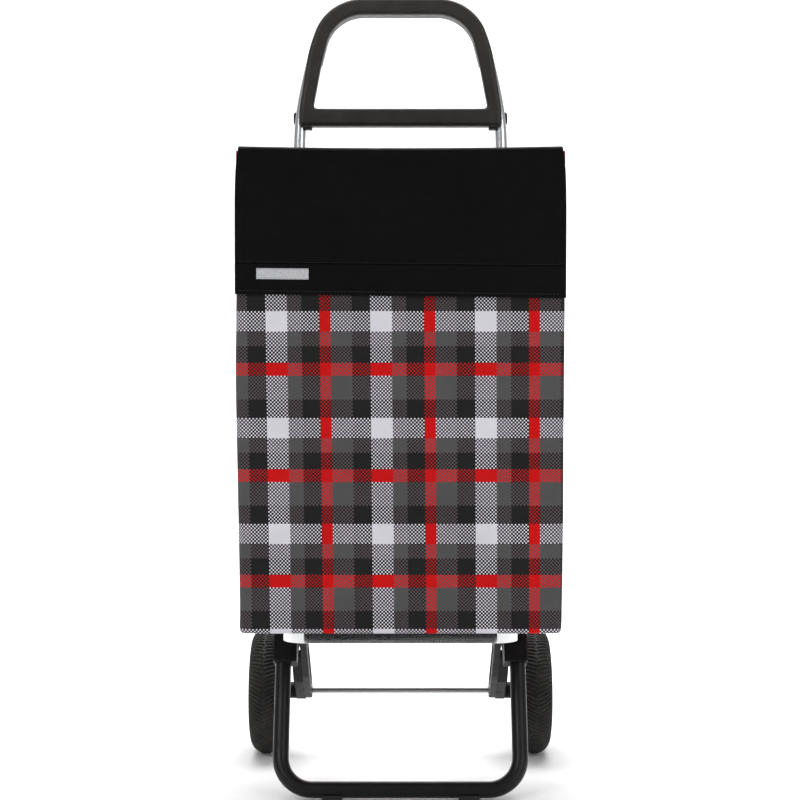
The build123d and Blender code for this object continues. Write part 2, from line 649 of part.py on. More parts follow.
flap_y0 = front_y(FLAP_Z0) - 0.6
flap_y1 = front_y(FLAP_Z1) - 0.6
with BuildPart() as lid_front_flap:
    with BuildSketch(side_plane(-LID_W / 2 - 1.0)):
        with BuildLine():
            Polyline((flap_y1, FLAP_Z1), (flap_y0, FLAP_Z0), (flap_y0 - FLAP_T, FLAP_Z0),
                     (flap_y1 - FLAP_T, FLAP_Z1), close=True)
        make_face()
    extrude(amount=LID_W + 2.0)
    fillet(lid_front_flap.edges().filter_by(Axis.X).group_by(Axis.Z)[0], 1.2)

label_z = 640.0
with BuildPart() as flap_label:
    label_plane = Plane(origin=(-140.0, front_y(label_z) - 0.6 - FLAP_T, label_z), x_dir=(1, 0, 0),
                        z_dir=(0, -1, front_slope))
    with BuildSketch(label_plane):
        RectangleRounded(62.0, 13.0, 1.5)
    extrude(amount=0.8)

# rivet and screw holes in the uprights
with BuildPart() as frame_tube_drilled:
    add(frame_tube.part)
    add(crossbar_rivets.part, mode=Mode.SUBTRACT)
    add(hub_screws.part, mode=Mode.SUBTRACT)

# ---------------------------------------------------------------------------
# Labels and files
# ---------------------------------------------------------------------------
pieces = {
    "frame_tube": frame_tube_drilled,
    "handle_grip": handle_grip_drilled,
    "grip_rear_shell": grip_rear_shell,
    "handle_clamps": handle_clamps,
    "handle_screws": handle_screws,
    "upper_crossbar": upper_crossbar,
    "lower_crossbar": lower_crossbar,
    "crossbar_rivets": crossbar_rivets,
    "foot_tube": foot_tube,
    "foot_pad_left": foot_pad_left,
    "foot_pad_right": foot_pad_right,
    "hub_left": hub_left,
    "hub_right": hub_right,
    "hub_screws": hub_screws,
    "pivot_bolt_left": pivot_bolt_left,
    "pivot_bolt_right": pivot_bolt_right,
    "pivot_nuts": pivot_nuts,
    "shelf_bar": shelf_bar,
    "shelf_rivets": shelf_rivets,
    "axle_arm_left": axle_arm_left,
    "axle_arm_right": axle_arm_right,
    "arm_cover_left": arm_cover_left,
    "arm_cover_right": arm_cover_right,
    "axle": axle,
    "axle_rings": axle_rings,
    "tyre_left": tyre_left,
    "tyre_right": tyre_right,
    "rim_left": rim_left,
    "rim_right": rim_right,
    "bush_left": bush_left,
    "bush_right": bush_right,
    "wheel_cap_left": wheel_cap_left,
    "wheel_cap_right": wheel_cap_right,
    "bag_front_panel": bag_front_panel,
    "bag_back_panel": bag_back_panel,
    "bag_side_left": bag_side_left,
    "bag_side_right": bag_side_right,
    "bag_base_panel": bag_base_panel,
    "bag_base_board": bag_base_board,
    "bag_back_board": bag_back_board,
    "bag_rim_wire": bag_rim_wire,
    "bag_hooks": bag_hooks,
    "bag_strap_left": bag_strap_left,
    "bag_strap_right": bag_strap_right,
    "lid_top_panel": lid_top_panel,
    "lid_board": lid_board,
    "lid_front_flap": lid_front_flap,
    "flap_label": flap_label,
}
for piece_name, piece in pieces.items():
    piece.part.label = piece_name
    export_step(piece.part, "parts/" + piece_name + ".step")
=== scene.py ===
import bpy
import json
import math
import numpy as np
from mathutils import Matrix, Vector, noise


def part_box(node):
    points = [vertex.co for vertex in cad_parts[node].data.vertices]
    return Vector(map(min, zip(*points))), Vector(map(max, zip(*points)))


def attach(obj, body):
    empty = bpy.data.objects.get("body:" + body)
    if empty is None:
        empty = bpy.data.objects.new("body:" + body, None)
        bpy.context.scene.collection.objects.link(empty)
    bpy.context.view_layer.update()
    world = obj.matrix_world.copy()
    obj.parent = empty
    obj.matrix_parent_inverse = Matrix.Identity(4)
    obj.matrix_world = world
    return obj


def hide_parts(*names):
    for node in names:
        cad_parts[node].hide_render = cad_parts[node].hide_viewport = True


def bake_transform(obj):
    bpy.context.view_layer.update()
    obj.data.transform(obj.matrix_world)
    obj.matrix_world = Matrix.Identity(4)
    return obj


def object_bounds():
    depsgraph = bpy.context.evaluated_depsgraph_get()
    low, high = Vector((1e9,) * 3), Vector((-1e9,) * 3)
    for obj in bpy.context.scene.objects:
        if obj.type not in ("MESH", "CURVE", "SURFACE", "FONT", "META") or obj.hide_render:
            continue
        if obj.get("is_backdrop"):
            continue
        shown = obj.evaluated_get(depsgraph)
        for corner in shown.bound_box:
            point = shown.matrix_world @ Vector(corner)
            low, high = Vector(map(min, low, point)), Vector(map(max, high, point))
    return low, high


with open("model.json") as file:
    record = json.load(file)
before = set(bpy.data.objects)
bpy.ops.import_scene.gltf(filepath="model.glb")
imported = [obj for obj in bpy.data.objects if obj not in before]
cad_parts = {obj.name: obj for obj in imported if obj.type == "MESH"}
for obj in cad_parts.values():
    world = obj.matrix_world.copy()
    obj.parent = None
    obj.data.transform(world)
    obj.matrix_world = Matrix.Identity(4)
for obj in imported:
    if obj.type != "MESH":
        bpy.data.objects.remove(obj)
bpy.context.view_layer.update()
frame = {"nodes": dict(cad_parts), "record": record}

NODES = frame["nodes"]
scene = bpy.context.scene

# ---------------------------------------------------------------- camera
cam_data = bpy.data.cameras.new("camera")
cam_data.sensor_width = 36.0
cam_data.lens = 36.0 * 1808.0 / 800.0
cam_data.shift_y = -0.0625
cam_data.clip_end = 50.0
cam = bpy.data.objects.new("camera", cam_data)
cam.location = (-0.0006, -2.349, 0.551)
cam.rotation_euler = (math.radians(90.0), 0.0, 0.0)
scene.collection.objects.link(cam)
scene.camera = cam


# ---------------------------------------------------------------- mesh helpers
def add_mesh(name, verts, faces, uvs=None, smooth=True, mats=(), face_mats=None):
    me = bpy.data.meshes.new(name)
    me.from_pydata([tuple(map(float, v)) for v in verts], [], [tuple(map(int, f)) for f in faces])
    if uvs is not None:
        layer = me.uv_layers.new(name="UVMap")
        loops = np.zeros(len(me.loops), np.int32)
        me.loops.foreach_get("vertex_index", loops)
        if isinstance(uvs, dict):
            flat = np.array(uvs["loops"], np.float32)
        else:
            flat = np.array(uvs, np.float32)[loops]
        layer.data.foreach_set("uv", flat.reshape(-1))
    for m in mats:
        me.materials.append(m)
    if face_mats is not None:
        me.polygons.foreach_set("material_index", np.array(face_mats, np.int32))
    me.polygons.foreach_set("use_smooth", [bool(smooth)] * len(me.polygons))
    me.validate()
    me.update()
    ob = bpy.data.objects.new(name, me)
    scene.collection.objects.link(ob)
    return ob


def slab(name, outer, inner, uv, mats, close_u=False):
    """Closed sheet from two grids of points (rows, cols, 3) and one grid of (rows, cols, 2) UVs."""
    rows, cols = outer.shape[:2]
    verts = np.concatenate([outer.reshape(-1, 3), inner.reshape(-1, 3)])
    uvs = np.concatenate([uv.reshape(-1, 2), uv.reshape(-1, 2)])
    off = rows * cols
    faces = []
    for r in range(rows - 1):
        for c in range(cols if close_u else cols - 1):
            d = (c + 1) % cols
            a, b, e, f = r * cols + c, r * cols + d, (r + 1) * cols + d, (r + 1) * cols + c
            faces.append((a, b, e, f))
            faces.append((off + a, off + f, off + e, off + b))
    for c in range(cols if close_u else cols - 1):
        d = (c + 1) % cols
        faces.append((c, off + c, off + d, d))
        last = (rows - 1) * cols
        faces.append((last + c, last + d, off + last + d, off + last + c))
    if not close_u:
        for r in range(rows - 1):
            a, b = r * cols, (r + 1) * cols
            faces.append((a, b, off + b, off + a))
            a, b = r * cols + cols - 1, (r + 1) * cols + cols - 1
            faces.append((a, off + a, off + b, b))
    ob = add_mesh(name, verts, faces, uvs, mats=mats)
    return ob


def fix_normals(ob):
    import bmesh
    bm = bmesh.new()
    bm.from_mesh(ob.data)
    bmesh.ops.recalc_face_normals(bm, faces=bm.faces)
    bm.to_mesh(ob.data)
    bm.free()
    return ob


def grid_normals(p):
    du = np.gradient(p, axis=1)
    dv = np.gradient(p, axis=0)
    n = np.cross(du, dv)
    return n / np.maximum(np.linalg.norm(n, axis=2, keepdims=True), 1e-9)


def smooth01(a, b, x):
    t = np.clip((x - a) / (b - a), 0, 1)
    return t * t * (3 - 2 * t)


def stitches(name, points, normals, mat, length=0.0030, width=0.00055, height=0.00035):
    """One small rounded thread bar at each point; points come in order, so each bar follows the line."""
    verts, faces = [], []
    pts = np.array(points, float)
    nrm = np.array(normals, float)
    tang = np.gradient(pts, axis=0)
    tang /= np.linalg.norm(tang, axis=1, keepdims=True)
    for p, n, t in zip(pts, nrm, tang):
        n = n / np.linalg.norm(n)
        s = np.cross(n, t)
        base = len(verts)
        ring = [(-0.5, 0.55), (-0.36, 1.0), (0.36, 1.0), (0.5, 0.55)]
        for k, (a, g) in enumerate(ring):
            for ang in (0, 60, 120, 180, 240, 300):
                ca, sa = math.cos(math.radians(ang)), math.sin(math.radians(ang))
                lift = height * (g - 0.35)
                verts.append(p + t * a * length + s * ca * width * g * 0.5 + n * (sa * width * g * 0.5 + lift))
        for k in range(3):
            for j in range(6):
                a = base + k * 6 + j
                b = base + k * 6 + (j + 1) % 6
                faces.append((a, b, b + 6, a + 6))
        faces.append(tuple(base + j for j in reversed(range(6))))
        faces.append(tuple(base + 18 + j for j in range(6)))
    ob = add_mesh(name, verts, faces, mats=[mat])
    return fix_normals(ob)


def tube_mesh(name, pts, radius, mat, sides=12, closed=False):
    pts = np.array(pts, float)
    n = len(pts)
    if closed:
        tang = np.roll(pts, -1, 0) - np.roll(pts, 1, 0)
    else:
        tang = np.gradient(pts, axis=0)
    tang /= np.linalg.norm(tang, axis=1, keepdims=True)
    ref = np.array([0.0, 0.0, 1.0])
    if abs(tang[0] @ ref) > 0.9:
        ref = np.array([0.0, 1.0, 0.0])
    verts, faces = [], []
    for i in range(n):
        s = np.cross(tang[i], ref)
        s /= np.linalg.norm(s)
        u = np.cross(s, tang[i])
        ref = u
        for k in range(sides):
            a = 2 * math.pi * k / sides
            verts.append(pts[i] + radius * (math.cos(a) * s + math.sin(a) * u))
    m = n if closed else n - 1
    for i in range(m):
        for k in range(sides):
            a, b = i * sides + k, i * sides + (k + 1) % sides
            c, d = ((i + 1) % n) * sides + (k + 1) % sides, ((i + 1) % n) * sides + k
            faces.append((a, b, c, d))
    if not closed:
        faces.append(tuple(reversed(range(sides))))
        faces.append(tuple((n - 1) * sides + k for k in range(sides)))
    return fix_normals(add_mesh(name, verts, faces, mats=[mat]))


# ---------------------------------------------------------------- material helpers
class Mat:
    def __init__(self, name, **consts):
        self.m = bpy.data.materials.new(name)
        self.m.use_nodes = True
        self.t = self.m.node_tree
        self.t.nodes.clear()
        self.out = self.t.nodes.new("ShaderNodeOutputMaterial")
        self.p = self.t.nodes.new("ShaderNodeBsdfPrincipled")
        self.link(self.p.outputs[0], self.out.inputs[0])
        for k, v in consts.items():
            self.p.inputs[k.replace("_", " ")].default_value = v

    def link(self, a, b):
        self.t.links.new(a, b)

    def node(self, kind, **props):
        n = self.t.nodes.new(kind)
        for k, v in props.items():
            setattr(n, k, v)
        return n

    def val(self, sock, v):
        if isinstance(v, bpy.types.NodeSocket):
            self.link(v, sock)
        else:
            sock.default_value = v

    def math(self, op, a, b=0.0, c=0.0):
        n = self.node("ShaderNodeMath", operation=op)
        self.val(n.inputs[0], a)
        self.val(n.inputs[1], b)
        if op in ("MULTIPLY_ADD", "COMPARE", "SMOOTH_MIN", "SMOOTH_MAX"):
            self.val(n.inputs[2], c)
        return n.outputs[0]

    def coord(self, which="Object"):
        return self.node("ShaderNodeTexCoord").outputs[which]

    def mapping(self, vec, scale=(1, 1, 1), rot=(0, 0, 0)):
        n = self.node("ShaderNodeMapping")
        self.link(vec, n.inputs["Vector"])
        n.inputs["Scale"].default_value = scale
        n.inputs["Rotation"].default_value = rot
        return n.outputs[0]

    def noise(self, vec, scale, detail=4.0, rough=0.5):
        n = self.node("ShaderNodeTexNoise")
        self.link(vec, n.inputs["Vector"])
        n.inputs["Scale"].default_value = scale
        n.inputs["Detail"].default_value = detail
        n.inputs["Roughness"].default_value = rough
        return n.outputs["Fac"]

    def ramp(self, fac, stops, constant=False):
        n = self.node("ShaderNodeValToRGB")
        cr = n.color_ramp
        if constant:
            cr.interpolation = "CONSTANT"
        while len(cr.elements) > 1:
            cr.elements.remove(cr.elements[-1])
        cr.elements[0].position = stops[0][0]
        cr.elements[0].color = stops[0][1]
        for pos, col in stops[1:]:
            e = cr.elements.new(pos)
            e.color = col
        self.link(fac, n.inputs[0])
        return n.outputs[0]

    def remap(self, fac, lo, hi, a, b):
        n = self.node("ShaderNodeMapRange")
        self.link(fac, n.inputs[0])
        n.inputs[1].default_value = lo
        n.inputs[2].default_value = hi
        n.inputs[3].default_value = a
        n.inputs[4].default_value = b
        return n.outputs[0]

    def mix(self, fac, a, b, blend="MIX"):
        n = self.node("ShaderNodeMix", data_type="RGBA", blend_type=blend)
        self.val(n.inputs[0], fac)
        self.val(n.inputs[6], a)
        self.val(n.inputs[7], b)
        return n.outputs[2]

    def bump(self, height, strength, distance, normal=None):
        n = self.node("ShaderNodeBump")
        n.inputs["Strength"].default_value = strength
        n.inputs["Distance"].default_value = distance
        self.link(height, n.inputs["Height"])
        if normal is not None:
            self.link(normal, n.inputs["Normal"])
        return n.outputs[0]

    def color(self, c):
        self.link(c, self.p.inputs["Base Color"])

    def rough(self, c):
        self.link(c, self.p.inputs["Roughness"])

    def normal(self, c):
        self.link(c, self.p.inputs["Normal"])


def rgb(r, g, b):
    def lin(c):
        c /= 255.0
        return c / 12.92 if c <= 0.04045 else ((c + 0.055) / 1.055) ** 2.4
    return (lin(r), lin(g), lin(b), 1.0)


def weave_height(m, uv, pitch):
    """Plain weave height from UVs in metres."""
    sep = m.node("ShaderNodeSeparateXYZ")
    m.link(uv, sep.inputs[0])
    k = 2 * math.pi / pitch
    su = m.math("SINE", m.math("MULTIPLY", sep.outputs[0], k))
    sv = m.math("SINE", m.math("MULTIPLY", sep.outputs[1], k))
    return m.math("MULTIPLY", su, sv), sep


def make_plaid():
    m = Mat("plaid_cloth", Roughness=0.7)
    m.p.inputs["Sheen Weight"].default_value = 0.02
    m.p.inputs["Sheen Roughness"].default_value = 0.5
    m.p.inputs["Specular IOR Level"].default_value = 0.16
    uv = m.coord("UV")
    height, sep = weave_height(m, uv, 0.0009)
    white, grey, black, red = rgb(226, 224, 232), rgb(84, 84, 84), rgb(30, 29, 29), rgb(208, 7, 10)
    # one repeat is 58 threads; the cloth is cut a little off the straight grain
    lean = m.math("MULTIPLY", m.math("SUBTRACT", sep.outputs[1], 0.6), 0.0077)
    su = m.math("DIVIDE", m.math("ADD", m.math("ADD", sep.outputs[0], lean), 0.0579 + 10 * 0.1243), 0.1243)
    sv = m.math("DIVIDE", m.math("SUBTRACT", 0.5973 + 10 * 0.1272, sep.outputs[1]), 0.1272)
    fu = m.math("FRACT", su)
    fv = m.math("FRACT", sv)

    def stops(seq):
        out, at = [], 0
        for n, c in seq:
            out.append((at / 58.0, c))
            at += n
        return out

    warp = [(10, black), (12, white), (8, grey), (10, black), (6, red), (12, grey)]
    weft = [(11, white), (8, grey), (9, black), (7, red), (13, grey), (10, black)]
    vcol = m.ramp(fu, stops(warp), True)
    hcol = m.ramp(fv, stops(weft), True)
    one, nil = (1.0, 1.0, 1.0, 1.0), (0.0, 0.0, 0.0, 1.0)

    def band(fac, seq, colour):
        return m.ramp(fac, stops([(n, one if c is colour else nil) for n, c in seq]), True)

    vw, vr, vg = band(fu, warp, white), band(fu, warp, red), band(fu, warp, grey)
    hw, hr, hg = band(fv, weft, white), band(fv, weft, red), band(fv, weft, grey)
    tu, tv = m.math("MULTIPLY", su, 58.0), m.math("MULTIPLY", sv, 58.0)
    par = m.math("GREATER_THAN", m.math("FRACT", m.math("MULTIPLY", m.math("ADD", m.math("FLOOR", tu), m.math("FLOOR", tv)), 0.5)), 0.25)

    def inv(x):
        return m.math("SUBTRACT", 1.0, x)

    def middle(t):
        return m.math("LESS_THAN", m.math("ABSOLUTE", m.math("SUBTRACT", m.math("FRACT", t), 0.5)), 0.395)

    def luma(c):
        n = m.node("ShaderNodeRGBToBW")
        m.link(c, n.inputs[0])
        return n.outputs[0]

    # a light thread that crosses a dark one shows as a slightly smaller check
    ring = inv(m.math("MULTIPLY", middle(tu), middle(tv)))
    gap = m.math("SUBTRACT", luma(vcol), luma(hcol))
    v_light = m.math("GREATER_THAN", gap, 0.1)
    h_light = m.math("LESS_THAN", gap, -0.1)
    show_v = m.math("ADD", m.math("MULTIPLY", par, inv(m.math("MULTIPLY", v_light, ring))),
                    m.math("MULTIPLY", inv(par), m.math("MULTIPLY", h_light, ring)))
    base = m.mix(show_v, hcol, vcol)
    # grey against black or white is a little warmer
    lone = m.math("ABSOLUTE", m.math("SUBTRACT", vg, hg))
    base = m.mix(lone, base, (1.12, 0.93, 1.0, 1.0), "MULTIPLY")
    # a white band that crosses a dark one: bright checks on a deeper ground
    light = m.math("ABSOLUTE", m.math("SUBTRACT", vw, hw))
    is_white = m.math("ADD", m.math("MULTIPLY", vw, show_v), m.math("MULTIPLY", hw, inv(show_v)))
    base = m.mix(m.math("MULTIPLY", light, is_white), base, rgb(238, 236, 245))
    base = m.mix(m.math("MULTIPLY", light, inv(is_white)), base, (0.60, 0.55, 0.70, 1.0), "MULTIPLY")
    # where red crosses white the cell is plain red
    over = m.math("MAXIMUM", m.math("MULTIPLY", vw, hr), m.math("MULTIPLY", vr, hw))
    base = m.mix(over, base, red)
    obj = m.coord("Object")
    tone = m.remap(m.noise(obj, 14.0, 3.0), 0.3, 0.7, 0.93, 1.04)
    grain = m.remap(m.noise(m.mapping(uv, (1, 1, 1)), 1400.0, 2.0), 0.3, 0.7, 0.88, 1.08)
    hsv = m.node("ShaderNodeHueSaturation")
    m.link(base, hsv.inputs["Color"])
    m.link(m.math("MULTIPLY", tone, grain), hsv.inputs["Value"])
    m.color(hsv.outputs[0])
    m.rough(m.remap(m.noise(obj, 40.0), 0.3, 0.7, 0.62, 0.78))
    b1 = m.bump(height, 0.35, 0.00018)
    m.normal(m.bump(m.noise(obj, 22.0, 3.0), 0.12, 0.003, b1))
    return m.m


def make_flap():
    m = Mat("flap_cloth", Roughness=0.6)
    m.p.inputs["Sheen Weight"].default_value = 0.004
    m.p.inputs["Sheen Roughness"].default_value = 0.4
    m.p.inputs["Specular IOR Level"].default_value = 0.08
    uv = m.coord("UV")
    height, sep = weave_height(m, uv, 0.0008)
    cloud = m.noise(uv, 9.0, 4.0)
    fleck = m.noise(uv, 900.0, 2.0)
    m.color(m.ramp(m.math("ADD", m.math("MULTIPLY", cloud, 0.6), m.math("MULTIPLY", fleck, 0.4)),
                   [(0.3, rgb(5, 5, 6)), (0.7, rgb(12, 11, 12))]))
    m.rough(m.remap(m.noise(uv, 60.0), 0.3, 0.7, 0.5, 0.68))
    b1 = m.bump(height, 0.4, 0.00016)
    m.normal(m.bump(cloud, 0.10, 0.004, b1))
    return m.m


def make_lining():
    m = Mat("lining_cloth", Roughness=0.75)
    uv = m.coord("UV")
    height, sep = weave_height(m, uv, 0.0012)
    m.color(m.ramp(m.noise(uv, 300.0, 3.0), [(0.3, rgb(58, 58, 60)), (0.7, rgb(84, 84, 87))]))
    m.normal(m.bump(height, 0.5, 0.0002))
    return m.m


def make_plastic(name, dark, light, rough=(0.42, 0.56), grain=1500.0, strength=0.18, spec=0.42):
    m = Mat(name, Roughness=0.5)
    m.p.inputs["Specular IOR Level"].default_value = spec
    obj = m.coord("Object")
    m.color(m.ramp(m.noise(obj, 35.0, 4.0), [(0.3, dark), (0.7, light)]))
    m.rough(m.remap(m.noise(obj, 120.0, 3.0), 0.3, 0.7, rough[0], rough[1]))
    m.normal(m.bump(m.noise(obj, grain, 2.0), strength, 0.0002))
    return m.m


def make_metal(name, base, rough=(0.18, 0.3), stretch=(900.0, 900.0, 6.0), strength=0.05):
    m = Mat(name, Metallic=1.0, Roughness=0.25)
    obj = m.coord("Object")
    lines = m.noise(m.mapping(obj, stretch), 1.0, 3.0, 0.6)
    m.color(m.ramp(m.noise(obj, 18.0, 3.0), [(0.3, tuple(c * 0.9 if i < 3 else 1.0 for i, c in enumerate(base))), (0.7, base)]))
    m.rough(m.remap(lines, 0.3, 0.7, rough[0], rough[1]))
    m.normal(m.bump(lines, strength, 0.0002))
    return m.m


def make_rubber():
    m = Mat("tyre_rubber", Roughness=0.75)
    m.p.inputs["Specular IOR Level"].default_value = 0.35
    obj = m.coord("Object")
    m.color(m.ramp(m.noise(obj, 60.0, 5.0), [(0.3, rgb(22, 21, 20)), (0.75, rgb(40, 38, 36))]))
    m.rough(m.remap(m.noise(obj, 200.0, 3.0), 0.3, 0.7, 0.62, 0.85))
    m.normal(m.bump(m.noise(obj, 1200.0, 3.0), 0.3, 0.0002))
    return m.m


def make_powder(name, dark, light, spec):
    m = Mat(name, Roughness=0.38)
    m.p.inputs["Specular IOR Level"].default_value = spec
    obj = m.coord("Object")
    m.color(m.ramp(m.noise(obj, 50.0, 4.0), [(0.3, dark), (0.7, light)]))
    m.rough(m.remap(m.noise(obj, 90.0, 4.0), 0.3, 0.7, 0.30, 0.44))
    m.normal(m.bump(m.noise(obj, 700.0, 2.0), 0.14, 0.0004))
    return m.m


def make_webbing():
    m = Mat("strap_webbing", Roughness=0.7)
    obj = m.coord("Object")
    sep = m.node("ShaderNodeSeparateXYZ")
    m.link(obj, sep.inputs[0])
    ribs = m.math("SINE", m.math("MULTIPLY", sep.outputs[2], 2 * math.pi / 0.0016))
    m.color(m.ramp(m.noise(obj, 400.0, 3.0), [(0.3, rgb(18, 18, 19)), (0.7, rgb(38, 38, 40))]))
    m.normal(m.bump(ribs, 0.6, 0.0003))
    return m.m


def make_label():
    m = Mat("label_cloth", Roughness=0.55)
    m.p.inputs["Sheen Weight"].default_value = 0.1
    obj = m.coord("Object")
    sep = m.node("ShaderNodeSeparateXYZ")
    m.link(obj, sep.inputs[0])
    ribs = m.math("SINE", m.math("MULTIPLY", sep.outputs[2], 2 * math.pi / 0.0007))
    m.color(m.ramp(m.noise(obj, 600.0, 3.0), [(0.3, rgb(176, 177, 181)), (0.7, rgb(214, 215, 219))]))
    m.normal(m.bump(ribs, 0.5, 0.0002))
    return m.m


PLAID, FLAP, LINING = make_plaid(), make_flap(), make_lining()
HANDLE = make_plastic("handle_plastic", rgb(40, 38, 35), rgb(52, 50, 46), (0.40, 0.52), 1300.0, 0.16, 0.38)
HUB = make_plastic("hub_plastic", rgb(21, 21, 22), rgb(33, 33, 34), (0.40, 0.54), 1500.0, 0.18, 0.12)
RIM = make_plastic("rim_plastic", rgb(52, 52, 54), rgb(70, 70, 72), (0.35, 0.5))
PAD = make_plastic("pad_plastic", rgb(24, 24, 25), rgb(34, 34, 35), (0.5, 0.65))
BUSH = make_plastic("bush_plastic", rgb(200, 198, 188), rgb(220, 218, 208), (0.3, 0.4), 900.0, 0.05)
BOARD = make_plastic("board_plastic", rgb(70, 70, 72), rgb(92, 92, 94), (0.5, 0.65), 800.0, 0.2)
ALU = make_metal("bare_aluminium", (0.80, 0.81, 0.83, 1.0), (0.16, 0.28))
SHELF = make_metal("shelf_aluminium", (0.86, 0.87, 0.88, 1.0), (0.035, 0.06), (6.0, 6.0, 900.0), 0.0)
STEEL = make_metal("zinc_steel", (0.62, 0.62, 0.64, 1.0), (0.25, 0.4), (300.0, 300.0, 300.0))
AXLE = make_metal("axle_steel", (0.26, 0.265, 0.27, 1.0), (0.24, 0.38), (8.0, 900.0, 900.0))
STRIP = make_powder("steel_strip_paint", rgb(20, 20, 21), rgb(31, 31, 32), 0.4)
ARM = make_powder("arm_paint", rgb(31, 32, 33), rgb(40, 41, 43), 0.06)
FOOT = make_powder("foot_powder_coat", rgb(10, 10, 10), rgb(17, 17, 17), 0.28)
RUBBER, WEBBING, LABEL = make_rubber(), make_webbing(), make_label()
THREAD = make_plastic("black_thread", rgb(26, 26, 28), rgb(48, 48, 50), (0.5, 0.6), 3000.0, 0.3)

BY_SLOT = {
    "bare_aluminium": ALU, "handle_plastic": HANDLE, "zinc_steel": STEEL, "steel_strip": STRIP, "arm_paint": ARM,
    "foot_black": FOOT, "pad_plastic": PAD, "hub_plastic": HUB, "shelf_aluminium": SHELF,
    "axle_steel": AXLE, "tyre_rubber": RUBBER, "rim_plastic": RIM, "bush_plastic": BUSH,
    "plaid_fabric": PLAID, "flap_fabric": FLAP, "board_plastic": BOARD, "strap_webbing": WEBBING,
    "label_cloth": LABEL,
}
for sub in frame["record"]["subparts"]:
    ob = NODES[sub["node"]]
    mat = BY_SLOT[sub["material_slot"]]
    if len(ob.material_slots) == 0:
        ob.data.materials.append(mat)
    for s in ob.material_slots:
        s.material = mat
    ob.data.polygons.foreach_set("use_smooth", [True] * len(ob.data.polygons))
    if hasattr(ob.data, "set_sharp_from_angle"):
        ob.data.set_sharp_from_angle(angle=math.radians(32))

# ---------------------------------------------------------------- bag
PANELS = ("bag_front_panel", "bag_back_panel", "bag_side_left", "bag_side_right", "bag_base_panel")
boxes = [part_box(n) for n in PANELS]
Z0, Z1 = min(b[0].z for b in boxes), max(b[1].z for b in boxes)
BACK = max(b[1].y for b in boxes)
FRONT0, FRONT1 = -0.175, min(b[0].y for b in boxes)
CORNER = 0.010
HEM_R = 0.0045       # rounding of the bag's lower edge


def bag_front(z):
    return FRONT0 + (FRONT1 - FRONT0) * (z - Z0) / (Z1 - Z0)


NF, NC, NS = 96, 14, 52


def bag_ring(z, inset, grow=0.0):
    """Points round the bag at height z, from the front's middle towards +X, and the outward normals."""
    t = (z - Z0) / (Z1 - Z0)
    w = 0.388 + 0.0036 * t - 2 * inset + 2 * grow
    yf = bag_front(z) + inset
    yb = BACK - inset
    r = max(CORNER - inset, 0.004)
    hx, cy0, cy1 = w / 2 - r, yf + r, yb - r
    pts, nrm = [], []
    for i in range(NF // 2):
        pts.append((hx * i / (NF // 2), yf)); nrm.append((0, -1))
    for i in range(NC):
        a = -math.pi / 2 + math.pi / 2 * i / NC
        pts.append((hx + r * math.cos(a), cy0 + r * math.sin(a))); nrm.append((math.cos(a), math.sin(a)))
    for i in range(NS):
        pts.append((hx + r, cy0 + (cy1 - cy0) * i / NS)); nrm.append((1, 0))
    for i in range(NC):
        a = math.pi / 2 * i / NC
        pts.append((hx + r * math.cos(a), cy1 + r * math.sin(a))); nrm.append((math.cos(a), math.sin(a)))
    for i in range(NF):
        pts.append((hx - 2 * hx * i / NF, yb)); nrm.append((0, 1))
    for i in range(NC):
        a = math.pi / 2 + math.pi / 2 * i / NC
        pts.append((-hx + r * math.cos(a), cy1 + r * math.sin(a))); nrm.append((math.cos(a), math.sin(a)))
    for i in range(NS):
        pts.append((-hx - r, cy1 - (cy1 - cy0) * i / NS)); nrm.append((-1, 0))
    for i in range(NC):
        a = math.pi + math.pi / 2 * i / NC
        pts.append((-hx + r * math.cos(a), cy0 + r * math.sin(a))); nrm.append((math.cos(a), math.sin(a)))
    for i in range(NF // 2):
        pts.append((-hx + hx * i / (NF // 2), yf)); nrm.append((0, -1))
    return np.array(pts), np.array(nrm)


ref_pts, _ = bag_ring((Z0 + Z1) / 2, 0.0)
seg = np.linalg.norm(np.roll(ref_pts, -1, 0) - ref_pts, axis=1)
U = np.concatenate([[0], np.cumsum(seg)[:-1]])
PERIM = seg.sum()
N = len(ref_pts)


def bag_bulge(p, n, z):
    """How far the cloth stands out of its flat panel."""
    t = (z - Z0) / (Z1 - Z0)
    window = math.sin(math.pi * min(max(t, 0.0), 1.0)) ** 0.8 * (1 - smooth01(0.66, 0.8, t) * 0.75)
    across = np.where(np.abs(n[:, 1]) > 0.5, np.cos(np.pi * np.clip(p[:, 0] / 0.40, -0.5, 0.5)),
                      np.cos(np.pi * np.clip((p[:, 1] + 0.09) / 0.24, -0.5, 0.5)))
    out = 0.0012 * window * np.abs(across) + 0.0007 * window
    back = n[:, 1] > 0.5
    out = np.where(back, out * 0.15, out)
    wr = np.array([noise.fractal(Vector((q[0] * 7.0, q[1] * 7.0, z * 5.0)), 1.0, 2.0, 3) for q in p])
    low = math.exp(-(z - Z0) / 0.05)
    amp = np.where(back, 0.0002, 0.00055 + 0.0006 * low)
    side = (np.abs(n[:, 0]) > 0.5)
    amp = np.where(side, amp * 2.2, amp)
    fade = float(smooth01(0.0, 0.02, z - Z0))
    return out + wr * amp * fade


def bag_layer(zs, inset, outer):
    rows = []
    for z in zs:
        e = inset
        if outer and z < Z0 + HEM_R:
            k = HEM_R - (z - Z0)
            e = inset + HEM_R - math.sqrt(max(HEM_R ** 2 - k * k, 0.0))
        p, n = bag_ring(z, e)
        d = bag_bulge(p, n, z)
        q = p + n * (d[:, None] if outer else (d[:, None] - 0.0))
        rows.append(np.column_stack([q, np.full(len(q), z)]))
    return np.array(rows)


